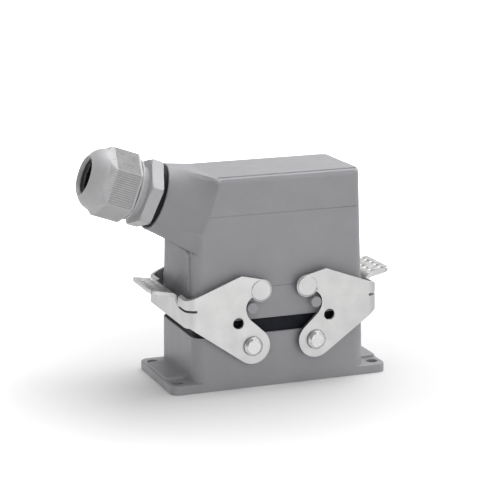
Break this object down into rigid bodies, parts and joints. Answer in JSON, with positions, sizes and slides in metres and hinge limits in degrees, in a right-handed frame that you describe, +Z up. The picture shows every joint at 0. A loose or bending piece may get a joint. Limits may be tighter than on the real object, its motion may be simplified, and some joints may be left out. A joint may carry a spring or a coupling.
{
  "type": "rectangular power connector",
  "caption": "Closed bulkhead base and tall side-entry hood with cable gland, two swinging locking levers, seals, pin and socket inserts.",
  "frame": {"origin": "centre of the four flange holes on the flange's underside", "axes": "+X along the length away from the cable gland, +Z up out of the panel, -Y the side seen in the picture"},
  "size_m": [0.1266, 0.0536, 0.0963],
  "materials": {
    "housing_paint": "satin grey powder coat on die-cast aluminium",
    "lever_steel": "satin, sharp punched edges",
    "pin_steel": "turned, bright",
    "seal_rubber": "matt",
    "gland_rubber": "matt",
    "gland_plastic": "satin moulded polyamide",
    "insert_plastic": "matt glass-filled plastic",
    "contact_metal": "silver plated",
    "screw_steel": "zinc plated"
  },
  "bodies": {
    "connector": {"base_housing": "housing_paint", "hood_housing": "housing_paint", "profile_seal": "seal_rubber", "panel_seal": "seal_rubber", "gland_gasket": "gland_rubber", "gland_seal": "gland_rubber", "gland_body": "gland_plastic", "female_insert": "insert_plastic", "male_insert": "insert_plastic", "socket_terminal_screws": "screw_steel", "pin_terminal_screws": "screw_steel", "female_insert_screws": "screw_steel", "male_insert_screws": "screw_steel", "female_ground_left": "contact_metal", "male_ground_left": "contact_metal", "pivot_pin_front_left": "pin_steel", "pivot_pin_back_left": "pin_steel", "female_ground_right": "contact_metal", "male_ground_right": "contact_metal", "pivot_pin_front_right": "pin_steel", "pivot_pin_back_right": "pin_steel", "pin_contact_1": "contact_metal", "socket_contact_1": "contact_metal", "pin_contact_2": "contact_metal", "socket_contact_2": "contact_metal", "pin_contact_3": "contact_metal", "socket_contact_3": "contact_metal", "pin_contact_4": "contact_metal", "socket_contact_4": "contact_metal", "pin_contact_5": "contact_metal", "socket_contact_5": "contact_metal", "pin_contact_6": "contact_metal", "socket_contact_6": "contact_metal", "pin_contact_7": "contact_metal", "socket_contact_7": "contact_metal", "pin_contact_8": "contact_metal", "socket_contact_8": "contact_metal", "pin_contact_9": "contact_metal", "socket_contact_9": "contact_metal", "pin_contact_10": "contact_metal", "socket_contact_10": "contact_metal"},
    "left_lever": {"lever_left": "lever_steel"},
    "right_lever": {"lever_right": "lever_steel"},
    "nut": {"gland_nut": "gland_plastic"}
  },
  "joints": [
    {"name": "left_lever_hinge", "type": "hinge", "parent": "connector", "child": "left_lever", "pos_m": [-0.01335, 0, 0.0179], "axis": [0, -1, 0], "range_deg": [0, 45]},
    {"name": "right_lever_hinge", "type": "hinge", "parent": "connector", "child": "right_lever", "pos_m": [0.01335, 0, 0.0179], "axis": [0, 1, 0], "range_deg": [0, 45]},
    {"name": "nut_turn", "type": "hinge", "parent": "connector", "child": "nut", "pos_m": [-0.06349, 0, 0.08234], "axis": [-0.9397, 0, 0.342], "continuous": true}
  ]
}
